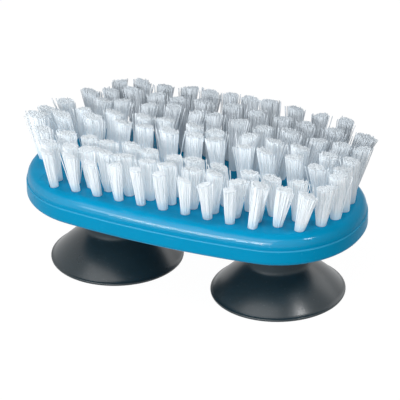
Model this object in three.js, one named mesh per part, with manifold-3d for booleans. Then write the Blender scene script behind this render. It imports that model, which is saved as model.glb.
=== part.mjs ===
// Nail brush for one-handed use: a moulded block of two halves, nylon tufts through its top
// and two soft suction cups below it.
// Millimetres, +Z up, +X along the block, z = 0 on the plane where the cup lips stand.
import * as THREE from 'three';
import { mergeVertices } from 'three/addons/utils/BufferGeometryUtils.js';
import Module from 'manifold-3d';

// Outline of the block, seen from above: two flat side arcs, two end arcs, four corner arcs.
const BLOCK_LENGTH = 105.5;
const BLOCK_WIDTH = 55;
const SIDE_RADIUS = 260;
const END_RADIUS = 38;
const CORNER_EASE = 2.5;

// Heights and walls of the two halves.
const UNDERSIDE_HEIGHT = 21.8;
const COVER_HEIGHT = 5;
const PLATE_HEIGHT = 4;
const SEAM_GAP = 0.1;
const SEAM_CHAMFER = 0.25;
const TOP_EDGE_RADIUS = 2.4;
const BOTTOM_EDGE_RADIUS = 1.4;
const SKIN_THICKNESS = 1.6;
const RIM_WALL = 1.9;
const COVER_FLOOR = 2;
const CLEARANCE = 0.3;
const SEAT_GAP = 0.1;

// Tuft rows: they stand in two groups with a parting between them.
const ROW_EDGE = 6.1;
const TUFT_EDGE = 5;
const OUTER_TUFT_EDGE = 3;
const FRONT_ROW_PITCH = 5.35;
const REAR_ROW_PITCH = 5.35;
const PARTING_CENTRE = -5.35;
const PARTING_WIDTH = 10.7;
const ROW_TUFTS = 13;
const SPARE_ROW_TUFTS = 12;
const OUTER_ROW_TUFTS = 11;
const FRONT_ROW_EMPTY_SPOTS = 1;

// One tuft: a square of strands that leans outwards and opens towards its tips.
const TUFT_HEIGHT = 15;
const TUFT_SIDE_STRANDS = 2;
const STRAND_RADIUS = 0.52;
const ROOT_SPACING = 1.3;
const TIP_SPACING = 3.2;
const SIDE_LEAN = 5.5;
const END_LEAN = 1.8;
const FRONT_DRIFT = 1.7;
const ROOT_SINK = 0.4;
const HOLE_RADIUS = 1.75;

// Suction cups.
const CUP_RADIUS = 20;
const CUP_OFFSET = 26.5;
const LIP_WIDTH = 1.4;
const LIP_HEIGHT = 0.8;
const LIP_ROUND = 0.35;
const FLANGE_WIDTH = 0.7;
const FLANGE_RISE = 0.2;
const DISH_HEIGHT = 9.2;
const DISH_BULGE = 0.4;
const HOLLOW_HEIGHT = 7.2;
const HOLLOW_CROWN = 9.5;
const SHOULDER_WIDTH = 0.8;
const SHOULDER_HEIGHT = 1.4;
const NECK_RADIUS = 8.8;
const GROOVE_RADIUS = 4;
const HEAD_RADIUS = 6.2;
const HEAD_HEIGHT = 2.3;

// Fineness of the facets.
const END_STEPS = 1;
const CORNER_STEPS = 9;
const SIDE_STEPS = 3;
const EDGE_STEPS = 4;
const CUP_SEGMENTS = 32;
const HOLE_SIDES = 6;
const STRAND_SIDES = 3;

const COVER_TOP = UNDERSIDE_HEIGHT + COVER_HEIGHT;
const PLATE_BOTTOM = COVER_TOP + SEAM_GAP;
const PLATE_TOP = PLATE_BOTTOM + PLATE_HEIGHT;
const RECESS_TOP = PLATE_TOP - SKIN_THICKNESS;
const ROOT_TOP = RECESS_TOP - SEAT_GAP;
const ROOT_BOTTOM = PLATE_BOTTOM + SEAT_GAP;
const HALF_LENGTH = BLOCK_LENGTH / 2;
const HALF_WIDTH = BLOCK_WIDTH / 2;
const CORNER_RADIUS = HALF_WIDTH - CORNER_EASE;

const wasm = await Module();
wasm.setup();

// Corner arc centre in the first quadrant: it touches the side arc and the end arc from inside.
function cornerCentre() {
  const side = new THREE.Vector2(0, HALF_WIDTH - SIDE_RADIUS);
  const end = new THREE.Vector2(HALF_LENGTH - END_RADIUS, 0);
  const span = end.clone().sub(side);
  const gap = span.length();
  const fromSide = SIDE_RADIUS - CORNER_RADIUS;
  const fromEnd = END_RADIUS - CORNER_RADIUS;
  const along = (fromSide ** 2 - fromEnd ** 2 + gap ** 2) / (2 * gap);
  const across = Math.sqrt(Math.max(fromSide ** 2 - along ** 2, 0));
  span.normalize();
  const x = side.x + span.x * along + span.y * across;
  const y = side.y + span.y * along - span.x * across;
  return { side, end, corner: new THREE.Vector2(x, y) };
}

const ARCS = cornerCentre();
const END_ANGLE = Math.atan2(ARCS.corner.y - ARCS.end.y, ARCS.corner.x - ARCS.end.x);
const SIDE_ANGLE = Math.atan2(ARCS.corner.y - ARCS.side.y, ARCS.corner.x - ARCS.side.x);

function arcPoints(centre, radius, from, to, steps) {
  const points = [];
  for (let i = 0; i < steps; i += 1) {
    const angle = from + (to - from) * i / steps;
    points.push([centre.x + radius * Math.cos(angle), centre.y + radius * Math.sin(angle)]);
  }
  return points;
}

// The whole outline, drawn in by an inset, anticlockwise from the +X end.
function outline(inset) {
  const quarter = [
    ...arcPoints(ARCS.end, END_RADIUS - inset, 0, END_ANGLE, END_STEPS),
    ...arcPoints(ARCS.corner, CORNER_RADIUS - inset, END_ANGLE, SIDE_ANGLE, CORNER_STEPS),
    ...arcPoints(ARCS.side, SIDE_RADIUS - inset, SIDE_ANGLE, Math.PI / 2, SIDE_STEPS),
  ];
  const top = [0, HALF_WIDTH - inset];
  const right = quarter.slice(1);
  const points = [quarter[0], ...right, top];
  for (const [x, y] of right.slice().reverse()) {
    points.push([-x, y]);
  }
  points.push([-quarter[0][0], 0]);
  for (const [x, y] of right) {
    points.push([-x, -y]);
  }
  points.push([0, -top[1]]);
  for (const [x, y] of right.slice().reverse()) {
    points.push([x, -y]);
  }
  return points;
}

// Half the length of the inset outline at a distance y from the middle.
function halfLengthAt(y, inset) {
  const height = Math.abs(y);
  const endTop = (END_RADIUS - inset) * Math.sin(END_ANGLE);
  if (height <= endTop) {
    return ARCS.end.x + Math.sqrt((END_RADIUS - inset) ** 2 - height ** 2);
  }
  const rise = height - ARCS.corner.y;
  return ARCS.corner.x + Math.sqrt(Math.max((CORNER_RADIUS - inset) ** 2 - rise ** 2, 0));
}

// Closed skin through rings of equal point count, with flat ends.
function loftGeometry(rings) {
  const count = rings[0].points.length;
  const positions = [];
  const index = [];
  for (const ring of rings) {
    for (const [x, y] of ring.points) {
      positions.push(x, y, ring.z);
    }
  }
  for (let level = 0; level + 1 < rings.length; level += 1) {
    for (let i = 0; i < count; i += 1) {
      const a = level * count + i;
      const b = level * count + (i + 1) % count;
      index.push(a, b, b + count, a, b + count, a + count);
    }
  }
  const last = (rings.length - 1) * count;
  for (let i = 1; i + 1 < count; i += 1) {
    index.push(0, i + 1, i);
    index.push(last, last + i, last + i + 1);
  }
  const geometry = new THREE.BufferGeometry();
  geometry.setAttribute('position', new THREE.Float32BufferAttribute(positions, 3));
  geometry.setIndex(index);
  return geometry;
}

function solid(geometry) {
  const bare = geometry.clone();
  for (const name of Object.keys(bare.attributes)) {
    if (name !== 'position') {
      bare.deleteAttribute(name);
    }
  }
  const merged = mergeVertices(bare, 1e-4);
  const vertProperties = new Float32Array(merged.attributes.position.array);
  const triVerts = new Uint32Array(merged.index.array);
  return new wasm.Manifold(new wasm.Mesh({ numProp: 3, vertProperties, triVerts }));
}

function geometryOf(body) {
  const mesh = body.getMesh();
  const geometry = new THREE.BufferGeometry();
  const positions = new Float32Array(mesh.vertProperties);
  geometry.setAttribute('position', new THREE.BufferAttribute(positions, 3));
  geometry.setIndex(Array.from(mesh.triVerts));
  geometry.computeVertexNormals();
  return geometry;
}

function insetPrism(inset, low, high) {
  return solid(loftGeometry([
    { z: low, points: outline(inset) },
    { z: high, points: outline(inset) },
  ]));
}

// Rings of a rounded edge, from the wall inwards.
function edgeRings(radius, z, direction) {
  const rings = [];
  for (let i = 0; i <= EDGE_STEPS; i += 1) {
    const angle = Math.PI / 2 * i / EDGE_STEPS;
    const inset = radius * (1 - Math.cos(angle));
    const height = radius * (1 - Math.sin(angle));
    rings.push({ z: z - direction * height, points: outline(inset) });
  }
  return rings;
}

function discPrism(radius, sides, low, high) {
  const geometry = new THREE.CylinderGeometry(radius, radius, high - low, sides);
  geometry.rotateX(Math.PI / 2);
  geometry.translate(0, 0, (low + high) / 2);
  return geometry;
}

// A straight prism whose ends are two level polygons, apart from each other in x, y and z.
function leaningPrism(sides, radius, turn, from, to) {
  const ring = (centre) => {
    const points = [];
    for (let i = 0; i < sides; i += 1) {
      const angle = turn + 2 * Math.PI * i / sides;
      points.push([centre.x + radius * Math.cos(angle), centre.y + radius * Math.sin(angle)]);
    }
    return { z: centre.z, points };
  };
  return loftGeometry([ring(from), ring(to)]);
}

// Rows from one side to the parting, spread evenly.
function rowPositions(from, to, pitch) {
  const steps = Math.max(Math.round(Math.abs(to - from) / pitch), 1);
  return Array.from({ length: steps + 1 }, (_, i) => from + (to - from) * i / steps);
}

function rowTufts(y, count, edge, drift) {
  const end = halfLengthAt(y, edge);
  return Array.from({ length: count }, (_, i) => ({ x: end * (2 * i / (count - 1) - 1), y, drift }));
}

const OUTER_ROW = HALF_WIDTH - ROW_EDGE;
const FRONT_ROWS = rowPositions(-OUTER_ROW, PARTING_CENTRE - PARTING_WIDTH / 2, FRONT_ROW_PITCH);
const REAR_ROWS = rowPositions(OUTER_ROW, PARTING_CENTRE + PARTING_WIDTH / 2, REAR_ROW_PITCH).reverse();

// Strips of rows, from front to rear, with the y where each strip ends.
function tuftStrips() {
  const front = FRONT_ROWS.map((y) => rowTufts(y, ROW_TUFTS, TUFT_EDGE, FRONT_DRIFT));
  front[0] = rowTufts(FRONT_ROWS[0], OUTER_ROW_TUFTS, OUTER_TUFT_EDGE, FRONT_DRIFT)
    .slice(0, OUTER_ROW_TUFTS - FRONT_ROW_EMPTY_SPOTS);
  const lastRear = REAR_ROWS.length - 1;
  const rear = REAR_ROWS.map((y, i) => rowTufts(y, i % 2 ? SPARE_ROW_TUFTS : ROW_TUFTS, TUFT_EDGE, 0));
  rear[lastRear] = rowTufts(REAR_ROWS[lastRear], OUTER_ROW_TUFTS, OUTER_TUFT_EDGE, 0);
  const partingEnds = rowTufts(PARTING_CENTRE, 2, TUFT_EDGE, 0);
  const split = 1 + Math.ceil(lastRear / 2);
  const groups = [
    front.slice(0, -1).flat(),
    [...front.at(-1), ...partingEnds, ...rear[0]],
    rear.slice(1, split).flat(),
    rear.slice(split).flat(),
  ];
  const middle = (rows, i) => (rows[i] + rows[i + 1]) / 2;
  const borders = [
    -HALF_WIDTH,
    middle(FRONT_ROWS, FRONT_ROWS.length - 2),
    middle(REAR_ROWS, 0),
    middle(REAR_ROWS, split - 1),
    HALF_WIDTH,
  ];
  return groups.map((tufts, i) => ({ tufts, low: borders[i], high: borders[i + 1] }));
}

// Point on a strand at a height over the plate's face: the tufts lean outwards as they rise.
function tuftPoint({ x, y, drift }, height, offset) {
  const t = height / TUFT_HEIGHT;
  const dx = drift + END_LEAN * x / HALF_LENGTH;
  const dy = SIDE_LEAN * y / OUTER_ROW;
  const spacing = ROOT_SPACING + (TIP_SPACING - ROOT_SPACING) * t;
  return new THREE.Vector3(
    x + dx * t + offset.x * spacing,
    y + dy * t + offset.y * spacing,
    PLATE_TOP + height,
  );
}

function strandGeometries(tuft) {
  const strands = [];
  const foot = ROOT_TOP - ROOT_SINK - PLATE_TOP;
  const turn = tuft.y < 0 ? -Math.PI / 2 : Math.PI / 2;
  const middle = (TUFT_SIDE_STRANDS - 1) / 2;
  for (let i = 0; i < TUFT_SIDE_STRANDS; i += 1) {
    for (let j = 0; j < TUFT_SIDE_STRANDS; j += 1) {
      const offset = { x: i - middle, y: j - middle };
      const from = tuftPoint(tuft, foot, offset);
      const to = tuftPoint(tuft, TUFT_HEIGHT, offset);
      strands.push(leaningPrism(STRAND_SIDES, STRAND_RADIUS, turn, from, to));
    }
  }
  return strands;
}

function holeGeometry(tuft) {
  const none = { x: 0, y: 0 };
  const from = tuftPoint(tuft, -SKIN_THICKNESS - SEAT_GAP, none);
  const to = tuftPoint(tuft, SKIN_THICKNESS, none);
  return leaningPrism(HOLE_SIDES, HOLE_RADIUS, 0, from, to);
}

const STRIPS = tuftStrips();

function plateGeometry() {
  const radius = Math.min(TOP_EDGE_RADIUS, PLATE_HEIGHT - SEAM_CHAMFER - SEAT_GAP);
  let body = solid(loftGeometry([
    { z: PLATE_BOTTOM, points: outline(SEAM_CHAMFER) },
    { z: PLATE_BOTTOM + SEAM_CHAMFER, points: outline(0) },
    ...edgeRings(radius, PLATE_TOP, 1),
  ]));
  body = body.subtract(insetPrism(RIM_WALL, PLATE_BOTTOM - PLATE_HEIGHT, RECESS_TOP));
  for (const { tufts } of STRIPS) {
    for (const tuft of tufts) {
      body = body.subtract(solid(holeGeometry(tuft)));
    }
  }
  return geometryOf(body);
}

function stripGeometry({ tufts, low, high }) {
  const box = new THREE.BoxGeometry(BLOCK_LENGTH, high - low - CLEARANCE, PLATE_HEIGHT);
  box.translate(0, (low + high) / 2, (ROOT_BOTTOM + ROOT_TOP) / 2);
  let body = insetPrism(RIM_WALL + CLEARANCE, ROOT_BOTTOM, ROOT_TOP).intersect(solid(box));
  for (const tuft of tufts) {
    for (const strand of strandGeometries(tuft)) {
      body = body.add(solid(strand));
    }
  }
  return geometryOf(body);
}

function coverGeometry() {
  const radius = Math.min(BOTTOM_EDGE_RADIUS, COVER_HEIGHT - SEAM_CHAMFER - SEAT_GAP);
  let body = solid(loftGeometry([
    ...edgeRings(radius, UNDERSIDE_HEIGHT, -1).reverse(),
    { z: COVER_TOP - SEAM_CHAMFER, points: outline(0) },
    { z: COVER_TOP, points: outline(SEAM_CHAMFER) },
  ]));
  const floor = UNDERSIDE_HEIGHT + COVER_FLOOR;
  for (const side of [-1, 1]) {
    const hole = discPrism(GROOVE_RADIUS + CLEARANCE, CUP_SEGMENTS,
      UNDERSIDE_HEIGHT - COVER_FLOOR, COVER_TOP + COVER_FLOOR);
    const pocket = discPrism(HEAD_RADIUS + CLEARANCE, CUP_SEGMENTS, floor, COVER_TOP + COVER_FLOOR);
    for (const cut of [hole, pocket]) {
      cut.translate(side * CUP_OFFSET, 0, 0);
      body = body.subtract(solid(cut));
    }
  }
  return geometryOf(body);
}

// One cup: a flat sealing lip, a flange, a domed dish that swells out from the neck, a groove and a head.
function cupGeometry() {
  const point = (r, z) => new THREE.Vector2(r, z);
  const hollow = new THREE.QuadraticBezierCurve(
    point(0, HOLLOW_HEIGHT),
    point(HOLLOW_CROWN, HOLLOW_HEIGHT),
    point(CUP_RADIUS - LIP_WIDTH, 0),
  ).getPoints(7);
  const flange = point(CUP_RADIUS - FLANGE_WIDTH, LIP_HEIGHT + FLANGE_RISE);
  const shoulder = point(NECK_RADIUS + SHOULDER_WIDTH, DISH_HEIGHT);
  const across = shoulder.clone().sub(flange);
  const bulge = point(across.y, -across.x).normalize().multiplyScalar(2 * DISH_BULGE);
  const dish = new THREE.QuadraticBezierCurve(
    flange,
    flange.clone().add(shoulder).multiplyScalar(0.5).add(bulge),
    shoulder,
  ).getPoints(6);
  const fillet = new THREE.QuadraticBezierCurve(
    shoulder,
    point(NECK_RADIUS, DISH_HEIGHT + SHOULDER_HEIGHT / 2),
    point(NECK_RADIUS, DISH_HEIGHT + SHOULDER_HEIGHT),
  ).getPoints(3).slice(1);
  const neckTop = UNDERSIDE_HEIGHT - SEAT_GAP;
  const headBottom = UNDERSIDE_HEIGHT + COVER_FLOOR + SEAT_GAP;
  const profile = [
    ...hollow,
    point(CUP_RADIUS - LIP_ROUND, 0),
    point(CUP_RADIUS, LIP_ROUND),
    point(CUP_RADIUS - LIP_ROUND, LIP_HEIGHT),
    ...dish,
    ...fillet,
    point(NECK_RADIUS, neckTop),
    point(GROOVE_RADIUS, neckTop),
    point(GROOVE_RADIUS, headBottom),
    point(HEAD_RADIUS, headBottom),
    point(HEAD_RADIUS, headBottom + HEAD_HEIGHT * 0.25),
    point(HEAD_RADIUS * 0.8, headBottom + HEAD_HEIGHT * 0.75),
    point(HEAD_RADIUS * 0.45, headBottom + HEAD_HEIGHT),
    point(0, headBottom + HEAD_HEIGHT),
  ];
  const geometry = new THREE.LatheGeometry(profile, CUP_SEGMENTS);
  geometry.rotateX(Math.PI / 2);
  return geometryOf(solid(geometry));
}

const blockBlue = { color: 0x0a90bd, roughness: 0.25, metalness: 0 };
const nylonWhite = { color: 0xe9f0f4, roughness: 0.55, metalness: 0 };
const softGrey = { color: 0x33383c, roughness: 0.4, metalness: 0 };

function addMesh(parent, name, geometry, finish) {
  const mesh = new THREE.Mesh(geometry, new THREE.MeshStandardMaterial(finish));
  mesh.name = name;
  parent.add(mesh);
  return mesh;
}

const brush = new THREE.Group();
const block = new THREE.Group();
brush.add(block);
addMesh(block, 'bristle_plate', plateGeometry(), blockBlue);
addMesh(block, 'base_cover', coverGeometry(), blockBlue);
const stripNames = ['front', 'middle_front', 'middle_rear', 'rear'];
STRIPS.forEach((strip, i) => {
  addMesh(block, `${stripNames[i]}_tuft_strip`, stripGeometry(strip), nylonWhite);
});
addMesh(brush, 'left_suction_cup', cupGeometry(), softGrey).position.x = -CUP_OFFSET;
addMesh(brush, 'right_suction_cup', cupGeometry(), softGrey).position.x = CUP_OFFSET;

export default brush;
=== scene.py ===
"""Looks of a nail brush with suction cups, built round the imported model. Metres, +Z up."""
import math
import random

import bmesh
import bpy
from mathutils import Matrix, Vector


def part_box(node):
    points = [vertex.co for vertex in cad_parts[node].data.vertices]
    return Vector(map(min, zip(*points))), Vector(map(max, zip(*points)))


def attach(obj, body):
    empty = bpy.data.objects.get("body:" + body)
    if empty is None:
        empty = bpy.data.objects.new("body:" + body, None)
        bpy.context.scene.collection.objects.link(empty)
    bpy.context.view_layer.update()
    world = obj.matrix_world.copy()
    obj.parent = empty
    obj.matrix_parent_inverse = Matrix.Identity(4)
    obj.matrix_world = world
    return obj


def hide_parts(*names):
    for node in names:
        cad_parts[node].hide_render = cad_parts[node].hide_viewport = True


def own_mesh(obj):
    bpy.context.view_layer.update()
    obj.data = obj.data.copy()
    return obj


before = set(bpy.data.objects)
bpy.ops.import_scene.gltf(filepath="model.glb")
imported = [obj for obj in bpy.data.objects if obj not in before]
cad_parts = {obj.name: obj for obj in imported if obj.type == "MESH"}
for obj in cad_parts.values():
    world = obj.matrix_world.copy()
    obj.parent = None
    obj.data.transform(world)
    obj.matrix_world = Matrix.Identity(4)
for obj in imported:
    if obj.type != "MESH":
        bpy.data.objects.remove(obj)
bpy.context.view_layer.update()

MM = 0.001

# Block outline and walls, as in the solids.
plate_low, plate_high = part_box("bristle_plate")
cover_low, cover_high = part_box("base_cover")
HALF_LENGTH = plate_high.x
HALF_WIDTH = plate_high.y
SIDE_RADIUS = 260 * MM
END_RADIUS = 38 * MM
CORNER_RADIUS = HALF_WIDTH - 2.5 * MM
BOTTOM_EDGE_RADIUS = 1.4 * MM
SKIN_THICKNESS = 1.6 * MM
RIM_WALL = 1.9 * MM
COVER_FLOOR = 2 * MM
SEAM_HEIGHT = cover_high.z
FACE_HEIGHT = plate_high.z
RECESS_HEIGHT = FACE_HEIGHT - SKIN_THICKNESS

# Edges and holes of the block, finished in another size than in the solids.
TOP_EDGE_RADIUS = 3.4 * MM
PLATE_INSET = 0.35 * MM
PLATE_SEAM_EDGE = 0.03 * MM
PLATE_SEAM_GAP = 0.01 * MM
COVER_SEAM_EDGE = 0.35 * MM
HOLE_RADIUS = 1.5 * MM
HOLE_LENGTH = 2 * SKIN_THICKNESS + 0.6 * MM

# Sockets in the cover: a bore for the cup's groove and a pocket for its head.
BORE_RADIUS = 4.3 * MM
BORE_LENGTH = 20 * MM
POCKET_RADIUS = 6.5 * MM
POCKET_LENGTH = 10 * MM

# Fineness of the curves, and the angle from which an edge stays crisp.
END_STEPS = 3
CORNER_STEPS = 30
SIDE_STEPS = 12
TOP_EDGE_STEPS = 9
BOTTOM_EDGE_STEPS = 7
COVER_SEAM_STEPS = 4
PLATE_SEAM_STEPS = 3
HOLE_SIDES = 14
SOCKET_SIDES = 48
CUP_SEGMENTS = 112
BLOCK_CRISP_DEGREES = 32
CUP_CRISP_DEGREES = 38

# Tuft rows, as in the solids.
TUFT_HEIGHT = 15 * MM
OUTER_ROW = HALF_WIDTH - 6.1 * MM
ROW_PITCH = 5.35 * MM
ROW_END_INSET = 5 * MM
OUTER_ROW_END_INSET = 3 * MM
ROW_SPOTS = 13
SPARE_ROW_SPOTS = 12
OUTER_ROW_SPOTS = 11
PARTING_SPOTS = 2
SIDE_LEAN = 5.5 * MM
END_LEAN = 1.8 * MM
FRONT_DRIFT = 1.7 * MM
ROOT_CLEARANCE = 0.3 * MM
ROOT_GAP = 0.1 * MM
STRIP_NODES = (
    "front_tuft_strip",
    "middle_front_tuft_strip",
    "middle_rear_tuft_strip",
    "rear_tuft_strip",
)

# Where the photograph's front rows stand off those of the solids.
FRONT_ROW_SET_BACK = 1.4 * MM
FRONT_ROW_SHIFT = -0.8 * MM
BARE_LEFT = 3.5 * MM
BARE_SPOTS = 3

# One tuft's filaments. Thickness, scatter and stray reach are shares of a radius or a reach.
FILAMENTS = 240
FILAMENT_RADIUS = 0.13 * MM
FILAMENT_SIDES = 4
FILAMENT_POINTS = 4
FOOT_THICKNESS = 0.75
TIP_THICKENING = 0.6
FOOT_REACH = 1.2 * MM
TIP_REACH = 2.55 * MM
TIP_DEPTH = 1.5 * MM
ROOT_SINK = 0.5 * MM
RAGGED = 0.45 * MM
RAGGED_LOW = -1.0
RAGGED_HIGH = 0.3
GOLDEN_ANGLE = 2.399963
SCATTER = 0.07
STRAY_REACH = 0.9
STRAY_RARITY = 16.0
BOW_MM = 0.25

# How tufts differ by chance, lengths in millimetres.
FIRST_SEED = 40
SEED_STEP = 100
SHORTER_MM = 0.25
SLANT_ALONG_MM = 0.6
SLANT_ACROSS_MM = 0.3
FULL_TURN = 6.283
LEAST_FAN = 0.88
MOST_FAN = 1.1

# How far the outer rows' tufts open, as a share of the inner rows' opening.
FRONT_ROW_OPENING = 0.68
REAR_ROW_OPENING = 0.9
OUTER_ROW_FROM = 0.9 * OUTER_ROW

# How use has pushed the tips at the rear corners.
WORN_FROM = -3 * MM
WORN_POWER = 3
WORN_RIGHT_SHARE = 0.45
WORN_OUT = 1.0 * MM
WORN_ACROSS = -6.0 * MM
WORN_DOWN = -1.8 * MM

# How use has pushed each tuft's tip, along and across the block in millimetres,
# row by row from the front and without the two tufts of the parting.
PUSHED = [
    [(1, -1.5), (1, -1.5), (1, -2.5), (1, -1), (0.5, -1.5), (0.5, -1.5), (1.5, -2),
     (0.5, -2), (1, -2), (0, 3.5)],
    [(-0.5, -0.5), (1, -1), (0.5, -0.5), (0, 0), (-1, 0), (0, -0.5), (-1, 0),
     (0.5, 0), (0, 0.5), (1, -0.5), (1, -0.5), (1.5, -0.5), (2, -1)],
    [(-1, -1), (0, -0.5), (0.5, -0.5), (0, -0.5), (0, 0.5), (-1.5, -1), (-1, -1.5),
     (-3, -0.5), (-2, -2), (0, -1.5), (-1, -2), (0, -1.5), (0, -1.5)],
    [(1, 0.5), (-1, 0.5), (0, 0.5), (2, -0.5), (0.5, 0), (0.5, -0.5), (0, 0),
     (-2, 0.5), (0, -1), (-1.5, -1), (-1, 0), (-1, -2.5), (-2, 1)],
    [(1, -2), (2, -1), (3, -1.5), (3, -1), (1.5, -1), (2, -1), (0.5, -2.5),
     (1.5, 0), (1, -1), (0.5, -1), (1, -1.5), (-1, -0.5)],
    [(1, -2.5), (4, -0.5), (1.5, 0), (2, 0.5), (2, 1), (2, 0), (-0.5, 1),
     (0.5, 0), (1, -0.5), (1.5, 0), (3.5, -1.5), (3, -0.5), (1.5, 0.5)],
    [(0.5, -2), (-1.5, -1.5), (-4, 1), (-3, 0), (-3.5, -0.5), (-3, 0.5), (-1.5, 1.5),
     (-1, 0.5), (0, 0.5), (0.5, 0), (2, 0), (4, 0.5)],
    [(1, -1), (0, 0), (0, -0.5), (0, 1), (-0.5, 1), (-1.5, 1.5), (-2, 1),
     (-3.5, 2), (-2, 1), (-1, 0.5), (0, 0.5)],
]
PARTING_PUSHED = [(0, 0)] * PARTING_SPOTS

# Cup sizes in millimetres; the dish's top is a radius and a height.
CUP_RADIUS = 20
HOLLOW_HEIGHT = 7.2
DISH_TOP = (9.6, 9.2)
NECK_RADIUS = 8.8
NECK_TOP = 21.7
GROOVE_RADIUS = 4
HEAD_FOOT = 24.4
HEAD_RADIUS = 6.2
HEAD_TOP = 26.15


# Nodes written as Python sums.
class Term:
    """The value of a socket."""

    def __init__(self, web, socket):
        self.web = web
        self.socket = socket

    def joined(self, operation, first, second):
        return self.web.node("ShaderNodeMath", {"operation": operation}, {0: first, 1: second})[0]

    def __add__(self, other):
        return self.joined("ADD", self, other)

    def __radd__(self, other):
        return self.joined("ADD", other, self)

    def __sub__(self, other):
        return self.joined("SUBTRACT", self, other)

    def __rsub__(self, other):
        return self.joined("SUBTRACT", other, self)

    def __mul__(self, other):
        return self.joined("MULTIPLY", self, other)

    def __rmul__(self, other):
        return self.joined("MULTIPLY", other, self)

    def __truediv__(self, other):
        return self.joined("DIVIDE", self, other)

    def __pow__(self, other):
        return self.joined("POWER", self, other)


class Outlets:
    """The outputs of a node, by number or name."""

    def __init__(self, web, made):
        self.web = web
        self.made = made

    def __getitem__(self, key):
        return Term(self.web, self.made.outputs[key])


class Web:
    """The nodes of one tree."""

    def __init__(self, tree):
        self.tree = tree

    def node(self, kind, settings=None, sockets=None):
        made = self.tree.nodes.new(kind)
        for name, value in (settings or {}).items():
            setattr(made, name, value)
        for key, value in (sockets or {}).items():
            self.feed(made.inputs[key], value)
        return Outlets(self, made)

    def feed(self, socket, value):
        if isinstance(value, Term):
            self.tree.links.new(value.socket, socket)
        else:
            socket.default_value = value

    def vector(self, operation, first, second):
        return self.node("ShaderNodeVectorMath", {"operation": operation}, {0: first, 1: second})[0]

    def scaled(self, vector, factor):
        return self.node(
            "ShaderNodeVectorMath", {"operation": "SCALE"}, {"Vector": vector, "Scale": factor}
        )[0]

    def packed(self, x, y, z):
        return self.node("ShaderNodeCombineXYZ", None, {0: x, 1: y, 2: z})[0]

    def parts(self, vector):
        split = self.node("ShaderNodeSeparateXYZ", None, {0: vector})
        return split[0], split[1], split[2]

    def largest(self, first, *others):
        for other in others:
            first = first.joined("MAXIMUM", first, other)
        return first

    def single(self, operation, value):
        return self.node("ShaderNodeMath", {"operation": operation}, {0: value})[0]

    def attribute(self, name):
        return self.node("ShaderNodeAttribute", {"attribute_name": name})["Fac"]

    def tint(self, factor, first, second):
        return self.node(
            "ShaderNodeMix",
            {"data_type": "RGBA", "clamp_factor": True},
            {0: factor, 6: first, 7: second},
        )[2]

    def blend(self, factor, first, second):
        return self.node("ShaderNodeMixShader", None, {0: factor, 1: first, 2: second})[0]

    def noise(self, place, scale, detail, roughness=0.5):
        return self.node(
            "ShaderNodeTexNoise",
            {"noise_dimensions": "3D"},
            {"Vector": place, "Scale": scale, "Detail": detail, "Roughness": roughness},
        )[0]

    def turned(self, place, turn, stretch):
        return self.node(
            "ShaderNodeMapping",
            {"vector_type": "POINT"},
            {"Vector": place, "Rotation": turn, "Scale": stretch},
        )[0]

    def ranged(self, value, low, high, to_low=0.0, to_high=1.0):
        return self.node(
            "ShaderNodeMapRange",
            {"interpolation_type": "SMOOTHSTEP", "clamp": True},
            {0: value, 1: low, 2: high, 3: to_low, 4: to_high},
        )[0]

    def band(self, value, rising, falling):
        """1 between a slope that rises and one that falls, each given by its two ends; 0 outside."""
        return self.ranged(value, *rising) * self.ranged(value, *falling, 1.0, 0.0)

    def bump(self, strength, height):
        return self.node(
            "ShaderNodeBump",
            None,
            {"Strength": strength, "Distance": BUMP_DISTANCE, "Height": height},
        )[0]


def linear(red, green, blue):
    """A screen colour of 0 to 255 as linear light."""
    def one(level):
        share = level / 255
        return share / 12.92 if share <= 0.04045 else ((share + 0.055) / 1.055) ** 2.4
    return (one(red), one(green), one(blue), 1.0)


BUMP_DISTANCE = 0.2 * MM
WHITE = (1, 1, 1, 1)
BLACK = (0, 0, 0, 1)

# Block: colours with a painted highlight along the seam, the slopes of its polished bands, and how much
# each mark shows.
BLUE_DEEP = linear(0, 132, 174)
BLUE_PALE = linear(2, 141, 186)
BLUE_SEAM_HIGHLIGHT = linear(120, 205, 235)
BLUE_SCRATCHED = linear(90, 190, 225)
SEAM_RISING = (SEAM_HEIGHT - 0.4 * MM, SEAM_HEIGHT - 0.2 * MM)
SEAM_FALLING = (SEAM_HEIGHT + 0.02 * MM, SEAM_HEIGHT + 0.1 * MM)
TOP_RISING = (FACE_HEIGHT - 3.3 * MM, FACE_HEIGHT - 2.6 * MM)
TOP_FALLING = (FACE_HEIGHT - 1.4 * MM, FACE_HEIGHT - 0.7 * MM)
RUBBED_FROM = 0.6 * HALF_LENGTH
SEAM_HIGHLIGHT_TINT = 0.15
SCRATCH_TINT = 0.1
BLUE_ROUGHNESS = 0.14
FLOW_ROUGHNESS = 0.05
SCRATCH_ROUGHNESS = 0.1
RUBBED_ROUGHNESS = 0.2
POLISH = 0.07
FLOW_POLISH = 0.03
TOP_EDGE_POLISH = 0.85
SEAM_POLISH = 0.07
POLISH_RUBBED_OFF = 0.88
PEEL_STRENGTH = 0.025
SCRATCH_DEPTH = 0.4

# Nylon: colours, a painted glow that stands in for light seeping through, painted shade on the cut ends and
# rear rows, a painted blue reflection at the roots, and where and how much each mark shows.
NYLON_DULL = linear(238, 245, 249)
NYLON_BRIGHT = linear(250, 253, 255)
NYLON_ROOT_REFLECTION = linear(206, 230, 242)
NYLON_REAR_SHADE = linear(208, 215, 221)
NYLON_CUT_SHADE = linear(205, 213, 219)
NYLON_STREAK = linear(228, 236, 242)
PAINTED_GLOW_LEAST = (0.072, 0.077, 0.082, 1)
PAINTED_GLOW_MOST = (0.092, 0.098, 0.104, 1)
REAR_SHADE_FROM = -0.05 * HALF_WIDTH
REAR_SHADE_FULLY = 0.8 * HALF_WIDTH
CUT_SHADE_TINT = 0.5
STREAK_TINT = 0.15
NYLON_ROUGHNESS = 0.38
SHADE_ROUGHNESS = 0.2
CUT_GLOW_DIMMING = 0.6
REAR_GLOW_DIMMING = 0.7

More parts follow.
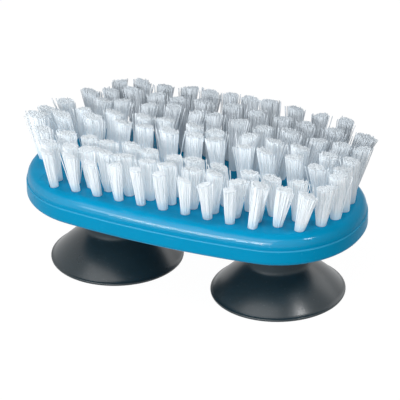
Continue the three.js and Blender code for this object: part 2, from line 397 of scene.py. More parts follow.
# Cups: colours, the height where the dull neck begins, and how much each mark shows.
RUBBER_DARK = linear(20, 35, 42)
RUBBER_BLOOM = linear(36, 49, 55)
RUBBER_DUST = linear(104, 110, 114)
NECK_FROM = 8.6 * MM
NECK_FULLY = 10.6 * MM
DUST_TINT = 0.2
RUBBER_ROUGHNESS = 0.24
BLOOM_ROUGHNESS = 0.1
NECK_ROUGHNESS = 0.44
SKIN_STRENGTH = 0.06


def new_finish(name, **fixed):
    """A material with one shader; values that hold all over are set on its own sockets."""
    material = bpy.data.materials.new(name)
    material.use_nodes = True
    tree = material.node_tree
    shader = tree.nodes["Principled BSDF"]
    for socket, value in fixed.items():
        shader.inputs[socket.replace("_", " ")].default_value = value
    return material, Web(tree), shader


def object_place(web):
    return web.node("ShaderNodeTexCoord")["Object"]


def moulded_blue():
    """Moulded plastic: flow shading, orange peel, hairline scratches, a painted highlight along the seam,
    polished edges, ends rubbed dull.
    """
    material, web, shader = new_finish(
        "moulded_blue",
        IOR=1.49,
        Specular_IOR_Level=0.06,
        Specular_Tint=(0.06, 0.55, 0.85, 1),
        Coat_IOR=1.5,
        Coat_Roughness=0.09,
    )
    place = object_place(web)
    along, _, height = web.parts(place)
    flowing = web.turned(place, turn=(0, 0, 0.2), stretch=(14, 30, 60))
    flow = web.noise(flowing, scale=1.0, detail=3.0)
    speck = web.noise(place, scale=620, detail=1.0)
    hairlines = web.turned(place, turn=(0.1, 0.2, 0.5), stretch=(60, 2600, 900))
    scratch = web.ranged(web.noise(hairlines, scale=1.0, detail=2.0), low=0.66, high=0.74)
    rubbed = web.ranged(web.single("ABSOLUTE", along), RUBBED_FROM, HALF_LENGTH)
    seam_edge = web.band(height, SEAM_RISING, SEAM_FALLING)
    top_edge = web.band(height, TOP_RISING, TOP_FALLING)
    base = web.tint(flow, BLUE_DEEP, BLUE_PALE)
    # Painted highlight: the band along the seam is tinted a lighter blue.
    seam_highlighted = web.tint(SEAM_HIGHLIGHT_TINT * seam_edge, base, BLUE_SEAM_HIGHLIGHT)
    web.feed(shader.inputs["Base Color"], web.tint(scratch * SCRATCH_TINT, seam_highlighted, BLUE_SCRATCHED))
    roughness = BLUE_ROUGHNESS + FLOW_ROUGHNESS * flow + SCRATCH_ROUGHNESS * scratch
    web.feed(shader.inputs["Roughness"], roughness + RUBBED_ROUGHNESS * rubbed)
    polish = POLISH + FLOW_POLISH * flow + TOP_EDGE_POLISH * top_edge + SEAM_POLISH * seam_edge
    web.feed(shader.inputs["Coat Weight"], polish * (1.0 - POLISH_RUBBED_OFF * rubbed))
    web.feed(shader.inputs["Normal"], web.bump(PEEL_STRENGTH, speck - SCRATCH_DEPTH * scratch))
    return material


def white_nylon():
    """Satin filament, shades varying at random; a painted glow stands in for light let through, with
    painted shade on cut ends and rear rows and a painted blue reflection at the roots.
    """
    material, web, shader = new_finish(
        "white_nylon", IOR=1.53, Specular_IOR_Level=0.3, Emission_Strength=1.0
    )
    shade = web.attribute("shade")
    rise = web.attribute("rise")
    place = object_place(web)
    _, across, _ = web.parts(place)
    drawn_out = web.turned(place, turn=(0, 0, 0), stretch=(2200, 2200, 160))
    streak = web.noise(drawn_out, scale=1.0, detail=1.0)
    body = web.tint(shade, NYLON_DULL, NYLON_BRIGHT)
    # Painted reflection: the filaments are tinted blue towards their roots, as if lit from the block.
    root_reflected = web.tint(web.ranged(rise, low=0.12, high=0.4), NYLON_ROOT_REFLECTION, body)
    # Painted shade: rows towards the rear turn greyer and their glow dimmer.
    rear_shade_mask = web.ranged(across, REAR_SHADE_FROM, REAR_SHADE_FULLY)
    rear_shaded = web.tint(rear_shade_mask, root_reflected, NYLON_REAR_SHADE)
    # Painted shade: the upward-facing cut ends are darker and glow less.
    cut_end = web.ranged(rise, low=0.97, high=1.0)
    cut_shaded = web.tint(CUT_SHADE_TINT * cut_end, rear_shaded, NYLON_CUT_SHADE)
    web.feed(shader.inputs["Base Color"], web.tint(streak * STREAK_TINT, cut_shaded, NYLON_STREAK))
    web.feed(shader.inputs["Roughness"], NYLON_ROUGHNESS + SHADE_ROUGHNESS * shade)
    # Painted glow: emission stands in for light let through the filaments.
    painted_glow = web.tint(shade, PAINTED_GLOW_LEAST, PAINTED_GLOW_MOST)
    glow_dimming = web.largest(CUT_GLOW_DIMMING * cut_end, REAR_GLOW_DIMMING * rear_shade_mask)
    web.feed(shader.inputs["Emission Color"], web.tint(glow_dimming, painted_glow, BLACK))
    return material


def smoky_rubber():
    """Satin soft plastic of the cups: faint bloom and dust, and a neck duller than the dish."""
    material, web, shader = new_finish("smoky_rubber", IOR=1.5, Specular_IOR_Level=0.5)
    place = object_place(web)
    _, _, height = web.parts(place)
    bloom = web.noise(place, scale=90, detail=4.0, roughness=0.6)
    dust = web.noise(place, scale=1500, detail=2.0)
    neck = web.ranged(height, NECK_FROM, NECK_FULLY)
    base = web.tint(bloom, RUBBER_DARK, RUBBER_BLOOM)
    dusty = web.tint(web.ranged(dust, low=0.62, high=0.8) * DUST_TINT, base, RUBBER_DUST)
    web.feed(shader.inputs["Base Color"], dusty)
    roughness = RUBBER_ROUGHNESS + BLOOM_ROUGHNESS * bloom + NECK_ROUGHNESS * neck
    web.feed(shader.inputs["Roughness"], roughness)
    web.feed(shader.inputs["Normal"], web.bump(SKIN_STRENGTH, dust))
    return material


BLUE = moulded_blue()
NYLON = white_nylon()
RUBBER = smoky_rubber()


# Outline of the block, drawn in by an inset, anticlockwise.
def arc_centres():
    side = Vector((0, HALF_WIDTH - SIDE_RADIUS))
    end = Vector((HALF_LENGTH - END_RADIUS, 0))
    span = end - side
    from_side = SIDE_RADIUS - CORNER_RADIUS
    from_end = END_RADIUS - CORNER_RADIUS
    along = (from_side ** 2 - from_end ** 2 + span.length_squared) / (2 * span.length)
    across = math.sqrt(max(from_side ** 2 - along ** 2, 0))
    span.normalize()
    corner = side + span * along + Vector((span.y, -span.x)) * across
    return side, end, corner


SIDE_CENTRE, END_CENTRE, CORNER_CENTRE = arc_centres()
END_ANGLE = math.atan2(CORNER_CENTRE.y - END_CENTRE.y, CORNER_CENTRE.x - END_CENTRE.x)
SIDE_ANGLE = math.atan2(CORNER_CENTRE.y - SIDE_CENTRE.y, CORNER_CENTRE.x - SIDE_CENTRE.x)


def arc(centre, radius, start, stop, steps):
    angles = [start + (stop - start) * i / steps for i in range(steps)]
    return [(centre.x + radius * math.cos(a), centre.y + radius * math.sin(a)) for a in angles]


def outline(inset):
    quarter = arc(END_CENTRE, END_RADIUS - inset, 0, END_ANGLE, END_STEPS)
    quarter += arc(CORNER_CENTRE, CORNER_RADIUS - inset, END_ANGLE, SIDE_ANGLE, CORNER_STEPS)
    quarter += arc(SIDE_CENTRE, SIDE_RADIUS - inset, SIDE_ANGLE, math.pi / 2, SIDE_STEPS)
    right = quarter[1:]
    points = [*quarter, (0, HALF_WIDTH - inset)]
    points += [(-x, y) for x, y in reversed(right)]
    points += [(-quarter[0][0], 0)]
    points += [(-x, -y) for x, y in right]
    points += [(0, inset - HALF_WIDTH)]
    points += [(x, -y) for x, y in reversed(right)]
    return points


def half_length_at(y, inset):
    height = abs(y)
    if height <= (END_RADIUS - inset) * math.sin(END_ANGLE):
        return END_CENTRE.x + math.sqrt((END_RADIUS - inset) ** 2 - height ** 2)
    rise = height - CORNER_CENTRE.y
    return CORNER_CENTRE.x + math.sqrt(max((CORNER_RADIUS - inset) ** 2 - rise ** 2, 0))


def quarter_round(radius, steps):
    """Pairs of inset and drop round an edge, from the wall inwards."""
    angles = [math.pi / 2 * i / steps for i in range(steps + 1)]
    return [(radius * (1 - math.cos(a)), radius * (1 - math.sin(a))) for a in angles]


def lofted(name, rings):
    """Closed solid through outlines given as pairs of inset and height."""
    points, faces = [], []
    for inset, height in rings:
        ring = outline(inset)
        points += [(x, y, height) for x, y in ring]
    count = len(points) // len(rings)
    for level in range(len(rings) - 1):
        for i in range(count):
            a = level * count + i
            b = level * count + (i + 1) % count
            faces.append((a, b, b + count, a + count))
    faces.append(tuple(reversed(range(count))))
    faces.append(tuple(range(len(points) - count, len(points))))
    mesh = bpy.data.meshes.new(name)
    mesh.from_pydata(points, [], faces)
    return added(name, mesh)


def added(name, mesh):
    piece = bpy.data.objects.new(name, mesh)
    bpy.context.scene.collection.objects.link(piece)
    return piece


def made_plain(piece):
    """The piece's modifiers become its own mesh."""
    graph = bpy.context.evaluated_depsgraph_get()
    mesh = bpy.data.meshes.new_from_object(piece.evaluated_get(graph))
    mesh.name = piece.name
    piece.modifiers.clear()
    piece.data = mesh


def softened(piece, crisp_degrees):
    """Smooth shading with crisp edges, flat faces kept flat."""
    mesh = piece.data
    mesh.shade_smooth()
    mesh.set_sharp_from_angle(angle=math.radians(crisp_degrees))
    weighted = piece.modifiers.new("even", "WEIGHTED_NORMAL")
    weighted.mode = "FACE_AREA"
    weighted.keep_sharp = True
    made_plain(piece)


# Geometry Nodes trees.
def new_tree(name, sockets):
    tree = bpy.data.node_groups.new(name, "GeometryNodeTree")
    face = tree.interface
    face.new_socket("Geometry", in_out="INPUT", socket_type="NodeSocketGeometry")
    face.new_socket("Geometry", in_out="OUTPUT", socket_type="NodeSocketGeometry")
    for label, kind in sockets:
        face.new_socket(label, in_out="INPUT", socket_type=f"NodeSocket{kind}")
    web = Web(tree)
    return tree, web, web.node("NodeGroupInput")


def ended(web, geometry, material):
    """Every tree ends alike: instances made real, then the material."""
    real = web.node("GeometryNodeRealizeInstances", None, {"Geometry": geometry})[0]
    coloured = web.node("GeometryNodeSetMaterial", None, {"Geometry": real, "Material": material})[0]
    web.node("NodeGroupOutput", None, {0: coloured})


def grown(piece, tree, values):
    """Runs a tree on a piece, with its inputs set by name."""
    modifier = piece.modifiers.new(tree.name, "NODES")
    modifier.node_group = tree
    for item in tree.interface.items_tree:
        if item.in_out == "INPUT" and item.name in values:
            modifier[item.identifier] = values[item.name]
    piece.update_tag()
    bpy.context.view_layer.update()
    made_plain(piece)


def bore_tree():
    """Cuts a bore through a piece at each point of another object, along that point's lean."""
    tree, web, given = new_tree(
        "bores",
        [("Points", "Object"), ("Radius", "Float"), ("Depth", "Float"), ("Sides", "Int"),
         ("Material", "Material")],
    )
    points = web.node(
        "GeometryNodeObjectInfo", {"transform_space": "ORIGINAL"}, {"Object": given["Points"]}
    )["Geometry"]
    lean = web.node(
        "GeometryNodeInputNamedAttribute", {"data_type": "FLOAT_VECTOR"}, {"Name": "lean"}
    )[0]
    turn = web.node("FunctionNodeAlignRotationToVector", {"axis": "Z"}, {"Vector": lean})[0]
    bore = web.node(
        "GeometryNodeMeshCylinder",
        None,
        {"Vertices": given["Sides"], "Radius": given["Radius"], "Depth": given["Depth"]},
    )[0]
    bores = web.node(
        "GeometryNodeInstanceOnPoints", None, {"Points": points, "Instance": bore, "Rotation": turn}
    )[0]
    real = web.node("GeometryNodeRealizeInstances", None, {"Geometry": bores})[0]
    cut = web.node(
        "GeometryNodeMeshBoolean",
        {"operation": "DIFFERENCE", "solver": "MANIFOLD"},
        {"Mesh 1": given["Geometry"], "Mesh 2": real},
    )[0]
    ended(web, cut, given["Material"])
    return tree


def filament_tree():
    """Grows a bundle of filaments from each point: round at the foot, opening most along the row."""
    tree, web, given = new_tree(
        "tuft_filaments",
        [("Filaments", "Int"), ("Foot reach", "Float"), ("Tip reach", "Float"), ("Tip depth", "Float"),
         ("Depth", "Float"), ("Thickness", "Float"), ("Ragged", "Float"), ("Seed", "Int"),
         ("Material", "Material")],
    )

    def drawn(low, high, turn):
        """A random value for each filament; every use has a turn of its own, so no two are alike."""
        seed = web.node("FunctionNodeIntegerMath", {"operation": "ADD"}, {0: given["Seed"], 1: turn})[0]
        return web.node(
            "FunctionNodeRandomValue", {"data_type": "FLOAT"}, {2: low, 3: high, "Seed": seed}
        )[1]

    def named(label, kind="FLOAT_VECTOR"):
        return web.node("GeometryNodeInputNamedAttribute", {"data_type": kind}, {"Name": label})[0]

    def stored(geometry, label, value, kind="FLOAT_VECTOR"):
        return web.node(
            "GeometryNodeStoreNamedAttribute",
            {"data_type": kind, "domain": "POINT"},
            {"Geometry": geometry, "Name": label, "Value": value},
        )[0]

    copies = web.node(
        "GeometryNodeDuplicateElements",
        {"domain": "POINT"},
        {"Geometry": given["Geometry"], "Amount": given["Filaments"]},
    )
    number = copies["Duplicate Index"]
    angle = number * GOLDEN_ANGLE + named("spin", "FLOAT")
    reach = web.single("SQRT", (number + 0.5) / given["Filaments"])
    across = web.packed(
        reach * web.single("COSINE", angle) + drawn(-SCATTER, SCATTER, 1),
        reach * web.single("SINE", angle) + drawn(-SCATTER, SCATTER, 2),
        0.0,
    )
    lean = named("lean")
    _, _, height = web.parts(lean)
    start = web.node("GeometryNodeInputPosition")[0]
    sunk = web.scaled(lean, -1.0 * given["Depth"] / height)
    foot = web.vector("ADD", start, web.vector("ADD", sunk, web.scaled(across, given["Foot reach"])))
    stray = 1.0 + STRAY_REACH * drawn(0.0, 1.0, 3) ** STRAY_RARITY
    opening = stray * named("fan", "FLOAT")
    opened = web.packed(given["Tip reach"] * opening, given["Tip depth"] * opening, 0.0)
    spread = web.vector("MULTIPLY", across, opened)
    slant = web.node(
        "ShaderNodeVectorMath", {"operation": "DOT_PRODUCT"}, {0: across, 1: named("cant")}
    )["Value"]
    uneven = web.packed(0.0, 0.0, slant + given["Ragged"] * drawn(RAGGED_LOW, RAGGED_HIGH, 4))
    tip = web.vector("ADD", web.vector("ADD", start, lean), web.vector("ADD", spread, uneven))
    bow = web.packed(drawn(-BOW_MM, BOW_MM, 5) * MM, drawn(-BOW_MM, BOW_MM, 6) * MM, 0.0)

    points = stored(copies["Geometry"], "foot", foot)
    points = stored(points, "tip", tip)
    points = stored(points, "bow", bow)
    points = stored(points, "shade", drawn(0.0, 1.0, 7), "FLOAT")

    line = web.node("GeometryNodeCurvePrimitiveLine", {"mode": "POINTS"}, {"End": (0, 0, 1)})[0]
    line = web.node(
        "GeometryNodeResampleCurve", {"mode": "COUNT"}, {"Curve": line, "Count": FILAMENT_POINTS}
    )[0]
    lines = web.node("GeometryNodeInstanceOnPoints", None, {"Points": points, "Instance": line})[0]
    lines = web.node("GeometryNodeRealizeInstances", None, {"Geometry": lines})[0]
    along = web.node("GeometryNodeSplineParameter")["Factor"]
    straight = web.vector(
        "ADD", web.scaled(named("foot"), 1.0 - along), web.scaled(named("tip"), along)
    )
    bent = web.vector("ADD", straight, web.scaled(named("bow"), 4.0 * along * (1.0 - along)))
    lines = web.node("GeometryNodeSetPosition", None, {"Geometry": lines, "Position": bent})[0]
    lines = stored(lines, "rise", along, "FLOAT")
    ring = web.node(
        "GeometryNodeCurvePrimitiveCircle",
        {"mode": "RADIUS"},
        {"Resolution": FILAMENT_SIDES, "Radius": 1.0},
    )[0]
    thickness = given["Thickness"] * (FOOT_THICKNESS + TIP_THICKENING * along)
    rods = web.node(
        "GeometryNodeCurveToMesh",
        None,
        {"Curve": lines, "Profile Curve": ring, "Scale": thickness, "Fill Caps": True},
    )[0]
    smooth = web.node("GeometryNodeSetShadeSmooth", None, {"Geometry": rods, "Shade Smooth": True})[0]
    ended(web, smooth, given["Material"])
    return tree


BORES = bore_tree()
FILAMENT_BUNDLES = filament_tree()


# Tuft feet.
def row_of_tufts(y, count, inset, drift, pushed, bare=0):
    """Foot, drift and push of each tuft; a push list that is shorter leaves the row's last spots empty."""
    end = half_length_at(y, inset)
    row = []
    for i, push in enumerate(pushed):
        x = end * (2 * i / (count - 1) - 1) + bare * max(0, 1 - i / BARE_SPOTS)
        row.append((x, y, drift, push))
    return row


def front_rows():
    outer = row_of_tufts(-OUTER_ROW, OUTER_ROW_SPOTS, OUTER_ROW_END_INSET, FRONT_DRIFT, PUSHED[0])
    rows = [[(x + FRONT_ROW_SHIFT, y + FRONT_ROW_SET_BACK, drift, push) for x, y, drift, push in outer]]
    for i in (1, 2):
        y = -OUTER_ROW + i * ROW_PITCH
        rows.append(row_of_tufts(y, ROW_SPOTS, ROW_END_INSET, FRONT_DRIFT, PUSHED[i], BARE_LEFT))
    return rows


def rear_rows(pushed):
    spots = (ROW_SPOTS, SPARE_ROW_SPOTS, ROW_SPOTS, SPARE_ROW_SPOTS)
    rows = [
        row_of_tufts(i * ROW_PITCH, count, ROW_END_INSET, 0, pushed[i])
        for i, count in enumerate(spots)
    ]
    rows.append(row_of_tufts(OUTER_ROW, OUTER_ROW_SPOTS, OUTER_ROW_END_INSET, 0, pushed[-1]))
    return rows


def tuft_strips():
    """Four strips of rows from front to rear: node, tufts and the y of the strip's two sides."""
    front = front_rows()
    parting = row_of_tufts(-ROW_PITCH, PARTING_SPOTS, ROW_END_INSET, 0, PARTING_PUSHED)
    rear = rear_rows(PUSHED[len(front):])
    tufts = [front[0] + front[1], front[2] + parting + rear[0], rear[1] + rear[2], rear[3] + rear[4]]
    # The strips part midway between two rows.
    sides = [-HALF_WIDTH, -OUTER_ROW + 1.5 * ROW_PITCH, 0.5 * ROW_PITCH, 2.5 * ROW_PITCH, HALF_WIDTH]
    return list(zip(STRIP_NODES, tufts, sides, sides[1:]))


def lean_of(x, y, drift):
    return Vector((drift + END_LEAN * x / HALF_LENGTH, SIDE_LEAN * y / OUTER_ROW, TUFT_HEIGHT))


def worn(lean, x, y):
    """Use has pushed the rear corners' tips forwards, out along the block and down, the left one's most."""
    if y < WORN_FROM:
        return lean
    share = abs(x / HALF_LENGTH) ** WORN_POWER * (1.0 if x < 0 else WORN_RIGHT_SHARE)
    side = -1.0 if x < 0 else 1.0
    return lean + Vector((side * WORN_OUT, WORN_ACROSS, WORN_DOWN)) * share


def feet(name, places, leans, cants=None, spins=None, fans=None):
    """Points with the lean, slant of the cut, turn and opening of what stands on them."""
    mesh = bpy.data.meshes.new(name)
    mesh.from_pydata(places, [], [])
    for label, vectors in (("lean", leans), ("cant", cants)):
        if vectors:
            flat = [value for vector in vectors for value in vector]
            mesh.attributes.new(label, "FLOAT_VECTOR", "POINT").data.foreach_set("vector", flat)
    for label, values in (("spin", spins), ("fan", fans)):
        if values:
            mesh.attributes.new(label, "FLOAT", "POINT").data.foreach_set("value", values)
    return added(name, mesh)


def bored(piece, places, leans, radius, depth, sides):
    points = feet("bore_points", places, leans)
    values = {"Points": points, "Radius": radius, "Depth": depth, "Sides": sides, "Material": BLUE}
    grown(piece, BORES, values)
    bpy.data.objects.remove(points)


def dressed(piece, node, body):
    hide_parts(node)
    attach(piece, body)


STRIPS = tuft_strips()


def bristle_plate():
    foot = SEAM_HEIGHT + PLATE_SEAM_GAP
    seam_edge = quarter_round(PLATE_SEAM_EDGE, PLATE_SEAM_STEPS)
    top_edge = quarter_round(TOP_EDGE_RADIUS, TOP_EDGE_STEPS)
    rings = [(RIM_WALL, RECESS_HEIGHT), (RIM_WALL, foot)]
    rings += [(PLATE_INSET + inset, foot + drop) for drop, inset in seam_edge]
    rings += [(PLATE_INSET + inset, FACE_HEIGHT - drop) for inset, drop in top_edge]
    plate = lofted("bristle_plate_shell", rings)
    tufts = [tuft for strip in STRIPS for tuft in strip[1]]
    places = [(x, y, FACE_HEIGHT) for x, y, *_ in tufts]
    leans = [lean_of(x, y, drift) for x, y, drift, _ in tufts]
    bored(plate, places, leans, HOLE_RADIUS, HOLE_LENGTH, HOLE_SIDES)
    softened(plate, BLOCK_CRISP_DEGREES)
    dressed(plate, "bristle_plate", "block")


def base_cover():
    bottom_edge = quarter_round(BOTTOM_EDGE_RADIUS, BOTTOM_EDGE_STEPS)
    seam_edge = quarter_round(COVER_SEAM_EDGE, COVER_SEAM_STEPS)
    rings = [(inset, cover_low.z + drop) for inset, drop in reversed(bottom_edge)]
    rings += [(inset, SEAM_HEIGHT - drop) for inset, drop in seam_edge]
    cover = lofted("base_cover_shell", rings)
    upright = [(0, 0, 1)] * len(CUP_CENTRES)
    pocket_middle = cover_low.z + COVER_FLOOR + POCKET_LENGTH / 2
    through = [(x, 0, cover_low.z) for x in CUP_CENTRES]
    pockets = [(x, 0, pocket_middle) for x in CUP_CENTRES]
    bored(cover, through, upright, BORE_RADIUS, BORE_LENGTH, SOCKET_SIDES)
    bored(cover, pockets, upright, POCKET_RADIUS, POCKET_LENGTH, SOCKET_SIDES)
    softened(cover, BLOCK_CRISP_DEGREES)
    dressed(cover, "base_cover", "block")


def clipped(points, y, keep_above):
    """The part of a convex outline on one side of a line across it."""
    kept = []
    for i, (x1, y1) in enumerate(points):
        x0, y0 = points[i - 1]
        inside0 = (y0 >= y) == keep_above
        inside1 = (y1 >= y) == keep_above
        if inside0 != inside1:
            share = (y - y0) / (y1 - y0)
            kept.append((x0 + (x1 - x0) * share, y))
        if inside1:
            kept.append((x1, y1))
    return kept


def root_slab(low, high):
    """The fused roots behind the plate, as the outline, bottom and top of a prism."""
    edge = outline(RIM_WALL + ROOT_CLEARANCE)
    edge = clipped(edge, low + ROOT_CLEARANCE / 2, True)
    edge = clipped(edge, high - ROOT_CLEARANCE / 2, False)
    return edge, plate_low.z + ROOT_GAP, RECESS_HEIGHT - ROOT_GAP


def row_opening(y):
    """How far a row's tufts open, as a share of the inner rows' opening."""
    if abs(y) < OUTER_ROW_FROM:
        return 1.0
    return FRONT_ROW_OPENING if y < 0 else REAR_ROW_OPENING


def tuft_feet(number, name, tufts):
    """The feet of one strip's tufts, each pushed, cut, turned and opened in its own way."""
    chance = random.Random(FIRST_SEED + number)
    places, leans, cants, spins, fans = [], [], [], [], []
    for x, y, drift, (sideways, backwards) in tufts:
        lean = worn(lean_of(x, y, drift), x, y)
        lean.x += sideways * MM
        lean.y += backwards * MM
        lean.z -= abs(chance.gauss(0, SHORTER_MM)) * MM
        slant_along = chance.uniform(-SLANT_ALONG_MM, SLANT_ALONG_MM) * MM
        slant_across = chance.uniform(-SLANT_ACROSS_MM, SLANT_ACROSS_MM) * MM
        places.append((x, y, FACE_HEIGHT))
        leans.append(lean)
        cants.append((slant_along, slant_across, 0))
        spins.append(chance.uniform(0, FULL_TURN))
        fans.append(chance.uniform(LEAST_FAN, MOST_FAN) * row_opening(y))
    return feet(f"{name}_bundle", places, leans, cants, spins, fans)


def prism_added(piece, edge, bottom, top):
    form = bmesh.new()
    form.from_mesh(piece.data)
    lower = [form.verts.new((x, y, bottom)) for x, y in edge]
    upper = [form.verts.new((x, y, top)) for x, y in edge]
    form.faces.new(list(reversed(lower)))
    form.faces.new(upper)
    for i in range(len(edge)):
        j = (i + 1) % len(edge)
        form.faces.new((lower[i], lower[j], upper[j], upper[i]))
    form.to_mesh(piece.data)
    form.free()


def tuft_strip(number, name, tufts, low, high):
    edge, bottom, top = root_slab(low, high)
    strip = tuft_feet(number, name, tufts)
    grown(strip, FILAMENT_BUNDLES, {
        "Filaments": FILAMENTS,
        "Foot reach": FOOT_REACH,
        "Tip reach": TIP_REACH,
        "Tip depth": TIP_DEPTH,
        "Depth": FACE_HEIGHT - top + ROOT_SINK,
        "Thickness": FILAMENT_RADIUS,
        "Ragged": RAGGED,
        "Seed": SEED_STEP * number,
        "Material": NYLON,
    })
    prism_added(strip, edge, bottom, top)
    dressed(strip, name, "block")


# Suction cups.
def cup_box(side):
    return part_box(f"{side}_suction_cup")


CUP_CENTRES = [(cup_box(side)[0].x + cup_box(side)[1].x) / 2 for side in ("left", "right")]


def bezier(a, b, c, steps):
    shares = [i / steps for i in range(steps + 1)]
    return [
        (a[0] * (1 - t) ** 2 + 2 * b[0] * t * (1 - t) + c[0] * t ** 2,
         a[1] * (1 - t) ** 2 + 2 * b[1] * t * (1 - t) + c[1] * t ** 2)
        for t in shares
    ]


def cup_profile():
    """Radius and height in millimetres, from the crown of the hollow round the lip to the head."""
    hollow = bezier((0, HOLLOW_HEIGHT), (9.5, HOLLOW_HEIGHT), (18.6, 0), 18)
    lip = bezier((19.6, 0), (CUP_RADIUS, 0), (CUP_RADIUS, 0.35), 4)
    lip += bezier((CUP_RADIUS, 0.45), (CUP_RADIUS, 0.8), (19.62, 0.82), 4)
    dish = bezier((19.3, 1), (14.97, 5.71), DISH_TOP, 20)
    shoulder = bezier(DISH_TOP, (NECK_RADIUS, 9.72), (NECK_RADIUS, 10.8), 6)
    neck = [(NECK_RADIUS, 16), (NECK_RADIUS, 21.3)]
    neck += bezier(neck[-1], (NECK_RADIUS, NECK_TOP), (8.4, NECK_TOP), 3)[1:]
    groove = [(GROOVE_RADIUS, NECK_TOP), (GROOVE_RADIUS, HEAD_FOOT)]
    head = [(5.9, HEAD_FOOT), (HEAD_RADIUS, 24.7), (HEAD_RADIUS, 25)]
    head += bezier(head[-1], (5.6, 26.1), (2.8, HEAD_TOP), 5)[1:]
    return [*hollow, *lip, *dish, *shoulder[1:], *neck, *groove, *head, (0, HEAD_TOP)]


def suction_cup(side, centre):
    form = bmesh.new()
    angles = [2 * math.pi * i / CUP_SEGMENTS for i in range(CUP_SEGMENTS)]
    rings = []
    for radius, height in cup_profile():
        if radius == 0:
            rings.append([form.verts.new((centre, 0, height * MM))])
            continue
        rings.append([
            form.verts.new((centre + radius * MM * math.cos(a), radius * MM * math.sin(a), height * MM))
            for a in angles
        ])
    for lower, upper in zip(rings, rings[1:]):
        for i in range(CUP_SEGMENTS):
            j = (i + 1) % CUP_SEGMENTS
            corners = [
                lower[i % len(lower)],
                lower[j % len(lower)],
                upper[j % len(upper)],
                upper[i % len(upper)],
            ]
            form.faces.new(list(dict.fromkeys(corners)))
    bmesh.ops.recalc_face_normals(form, faces=form.faces)
    mesh = bpy.data.meshes.new(f"{side}_cup_moulding")
    form.to_mesh(mesh)
    form.free()
    mesh.materials.append(RUBBER)
    cup = added(f"{side}_cup_moulding", mesh)
    softened(cup, CUP_CRISP_DEGREES)
    dressed(cup, f"{side}_suction_cup", f"{side}_cup")
    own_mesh(cup)


bristle_plate()
base_cover()
for number, strip in enumerate(STRIPS):
    tuft_strip(number, *strip)
for side, centre in zip(("left", "right"), CUP_CENTRES):
    suction_cup(side, centre)


# Floor, light and camera.
FLOOR_REACH = 6.0
FLOOR_GREY = (0.55, 0.55, 0.55, 1)
FLOOR_GLOW = 1.08
FLOOR_GLOW_SHARE = 0.9
SKY_TINT = (0.96, 0.98, 1.0, 1)
SKY_LIGHT = 0.18
SKY_SEEN = 1.0

# Lamps: name, place, aim, width, height and watts.
BRUSH_MIDDLE = (0, 0, 0.02)
LAMPS = [
    ("key_softbox", (-0.15, -0.56, 0.8), BRUSH_MIDDLE, 0.9, 0.5, 2.6),
    ("front_fill", (-0.03, -0.19, 0.1), (-0.01, -0.01, 0.038), 0.22, 0.06, 0.165),
    ("upper_strip", (-0.38, -0.2, 0.9), BRUSH_MIDDLE, 0.36, 0.05, 1.0),
    ("front_strip_low", (-0.16, -0.95, 0.16), BRUSH_MIDDLE, 0.72, 0.012, 1.5),
    ("front_strip_high", (-0.18, -0.93, 0.32), BRUSH_MIDDLE, 0.66, 0.012, 1.4),
    ("side_lamp", (0.66, -0.2, 0.74), BRUSH_MIDDLE, 0.17, 0.17, 2.7),
    ("rear_fill", (0.2, 0.7, 0.45), (0, 0, 0.03), 0.8, 0.4, 1.3),
]

# The photograph's viewpoint.
AZIMUTH = math.radians(25.938)
ELEVATION = math.radians(27.905)
ROLL = math.radians(-1.027)
DISTANCE = 1.05684
SHIFT_RIGHT = -1.204 * MM
SHIFT_UP = -3.566 * MM
TARGET = Vector((0, 0, 20 * MM))
FOCAL_PIXELS = 3572.67
PHOTO_PIXELS = 400
SENSOR_WIDTH = 36
NEAREST = 0.01
FARTHEST = 50


def looked_at(web):
    """1 for a ray from the camera, a gloss or a clear face, 0 for the soft light that falls on things."""
    paths = web.node("ShaderNodeLightPath")
    return web.largest(paths["Is Camera Ray"], paths["Is Glossy Ray"], paths["Is Transmission Ray"])


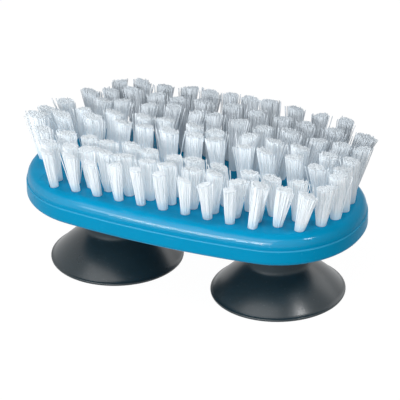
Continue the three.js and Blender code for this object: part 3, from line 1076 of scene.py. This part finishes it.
def floor():
    """White where it is looked at, grey to the light, and clear from below."""
    mesh = bpy.data.meshes.new("studio_floor")
    corners = [
        (-FLOOR_REACH, -FLOOR_REACH, 0),
        (FLOOR_REACH, -FLOOR_REACH, 0),
        (FLOOR_REACH, FLOOR_REACH, 0),
        (-FLOOR_REACH, FLOOR_REACH, 0),
    ]
    mesh.from_pydata(corners, [], [(0, 1, 2, 3)])
    ground = added("studio_floor", mesh)
    material = bpy.data.materials.new("studio_white")
    material.use_nodes = True
    tree = material.node_tree
    tree.nodes.remove(tree.nodes["Principled BSDF"])
    web = Web(tree)
    matt = web.node("ShaderNodeBsdfDiffuse", None, {"Color": FLOOR_GREY})[0]
    glow = web.node("ShaderNodeEmission", None, {"Color": WHITE, "Strength": FLOOR_GLOW})[0]
    shown = web.blend(looked_at(web) * FLOOR_GLOW_SHARE, matt, glow)
    clear = web.node("ShaderNodeBsdfTransparent")[0]
    under = web.node("ShaderNodeNewGeometry")["Backfacing"]
    web.feed(tree.nodes["Material Output"].inputs["Surface"], web.blend(under, shown, clear))
    mesh.materials.append(material)


def sky():
    """White where it is looked at, a faint cool light elsewhere."""
    world = bpy.data.worlds.new("studio_sky")
    bpy.context.scene.world = world
    world.use_nodes = True
    tree = world.node_tree
    tree.nodes.remove(tree.nodes["Background"])
    web = Web(tree)
    soft = web.node("ShaderNodeBackground", None, {"Color": SKY_TINT, "Strength": SKY_LIGHT})[0]
    white = web.node("ShaderNodeBackground", None, {"Color": WHITE, "Strength": SKY_SEEN})[0]
    web.feed(tree.nodes["World Output"].inputs["Surface"], web.blend(looked_at(web), soft, white))


def softbox(name, place, aim, width, height, watts):
    lamp = bpy.data.lights.new(name, "AREA")
    lamp.shape = "RECTANGLE"
    lamp.size = width
    lamp.size_y = height
    lamp.energy = watts
    box = bpy.data.objects.new(name, lamp)
    bpy.context.scene.collection.objects.link(box)
    box.location = place
    box.rotation_euler = (Vector(aim) - Vector(place)).to_track_quat("-Z", "Y").to_euler()


def camera():
    back = Vector((
        math.sin(AZIMUTH) * math.cos(ELEVATION),
        -math.cos(AZIMUTH) * math.cos(ELEVATION),
        math.sin(ELEVATION),
    ))
    level = Vector((math.cos(AZIMUTH), math.sin(AZIMUTH), 0))
    rise = back.cross(level)
    right = math.cos(ROLL) * level + math.sin(ROLL) * rise
    up = math.cos(ROLL) * rise - math.sin(ROLL) * level
    lens = bpy.data.cameras.new("photo_camera")
    lens.sensor_width = SENSOR_WIDTH
    lens.lens = FOCAL_PIXELS * SENSOR_WIDTH / PHOTO_PIXELS
    lens.clip_start = NEAREST
    lens.clip_end = FARTHEST
    eye = bpy.data.objects.new("photo_camera", lens)
    bpy.context.scene.collection.objects.link(eye)
    turn = Matrix((right, up, back)).transposed().to_4x4()
    place = TARGET + back * DISTANCE - right * SHIFT_RIGHT - up * SHIFT_UP
    eye.matrix_world = Matrix.Translation(place) @ turn
    bpy.context.scene.camera = eye


floor()
sky()
for lamp in LAMPS:
    softbox(*lamp)
camera()
bpy.context.scene.view_settings.view_transform = "Standard"
